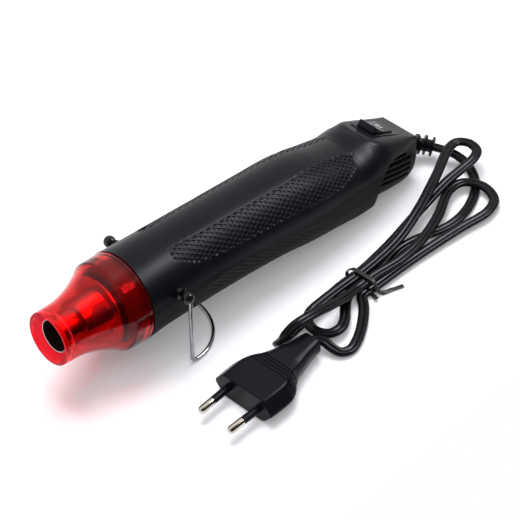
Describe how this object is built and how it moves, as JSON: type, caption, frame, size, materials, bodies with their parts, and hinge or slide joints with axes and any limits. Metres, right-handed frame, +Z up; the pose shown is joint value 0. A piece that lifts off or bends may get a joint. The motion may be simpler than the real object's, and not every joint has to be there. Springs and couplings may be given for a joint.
{
  "type": "hot air tool",
  "caption": "Small black hot air tool with a see-through red nozzle guard, folding wire stand, rocker switch and a flat lead folded in a hank with a two-pin plug.",
  "frame": {"origin": "on the floor, under the middle of the tool's box without its lead", "axes": "+X runs from the nozzle to the tail, +Y to the side away from the lead, +Z up"},
  "size_m": [0.2667, 0.1108, 0.0576],
  "materials": {
    "casing_plastic": "near-black moulded plastic with a fine satin grain",
    "guard_plastic": "see-through red moulded plastic, glossy",
    "tube_steel": "drawn thin sheet steel, lightly heat tinted",
    "dark_ceramic": "dark heat-proof insulator, matt",
    "mica_sheet": "pressed mica sheet",
    "heater_wire": "resistance wire",
    "terminal_brass": "plain brass",
    "blower_plastic": "dark moulded plastic",
    "motor_steel": "zinc plated steel can",
    "screw_steel": "plain steel",
    "board_resin": "green resin board",
    "switch_plastic": "black switch plastic, half gloss",
    "lead_pvc": "soft black insulation with a satin sheen",
    "stand_chrome": "bright plated wire",
    "plug_plastic": "black moulded plug, satin",
    "pin_nickel": "nickel plated brass"
  },
  "bodies": {
    "housing": {"left_shell": "casing_plastic", "right_shell": "casing_plastic", "nozzle_guard": "guard_plastic", "nozzle_tube": "tube_steel", "insulator_ring": "dark_ceramic", "heat_shield": "tube_steel", "mica_core": "mica_sheet", "heater_coil": "heater_wire", "thermal_cutout": "terminal_brass", "fan_duct": "blower_plastic", "motor_can": "motor_steel", "motor_end_cap": "blower_plastic", "rectifier_board": "board_resin", "capacitor": "blower_plastic", "bridge_rectifier": "switch_plastic", "switch_body": "switch_plastic", "switch_terminal_front": "terminal_brass", "switch_terminal_rear": "terminal_brass", "live_lead": "lead_pvc", "neutral_lead": "lead_pvc", "inner_lead": "lead_pvc", "cord_clamp": "blower_plastic", "clamp_screw_left": "screw_steel", "clamp_screw_right": "screw_steel", "shell_screw_1": "screw_steel", "shell_screw_2": "screw_steel", "shell_screw_3": "screw_steel", "shell_screw_4": "screw_steel", "stand_bush_left": "casing_plastic", "stand_bush_right": "casing_plastic", "strain_relief": "lead_pvc", "cord": "lead_pvc", "twist_tie": "lead_pvc", "plug_body": "plug_plastic", "plug_pin_left": "pin_nickel", "pin_sleeve_left": "plug_plastic", "plug_pin_right": "pin_nickel", "pin_sleeve_right": "plug_plastic"},
    "stand": {"stand_wire": "stand_chrome"},
    "rocker": {"switch_rocker": "switch_plastic"},
    "rotor": {"motor_shaft": "screw_steel", "fan_impeller": "blower_plastic"}
  },
  "joints": [
    {"name": "stand_hinge", "type": "hinge", "parent": "housing", "child": "stand", "pos_m": [-0.05784, 0, 0.04096], "axis": [0, 1, 0], "range_deg": [0, 90]},
    {"name": "rocker_hinge", "type": "hinge", "parent": "housing", "child": "rocker", "pos_m": [0.09534, 0, 0.03557], "axis": [0, 1, 0], "range_deg": [-21, 0]},
    {"name": "rotor_spin", "type": "hinge", "parent": "housing", "child": "rotor", "pos_m": [-0.02224, 0, 0.03116], "axis": [0.9976, 0, -0.0698], "continuous": true}
  ]
}
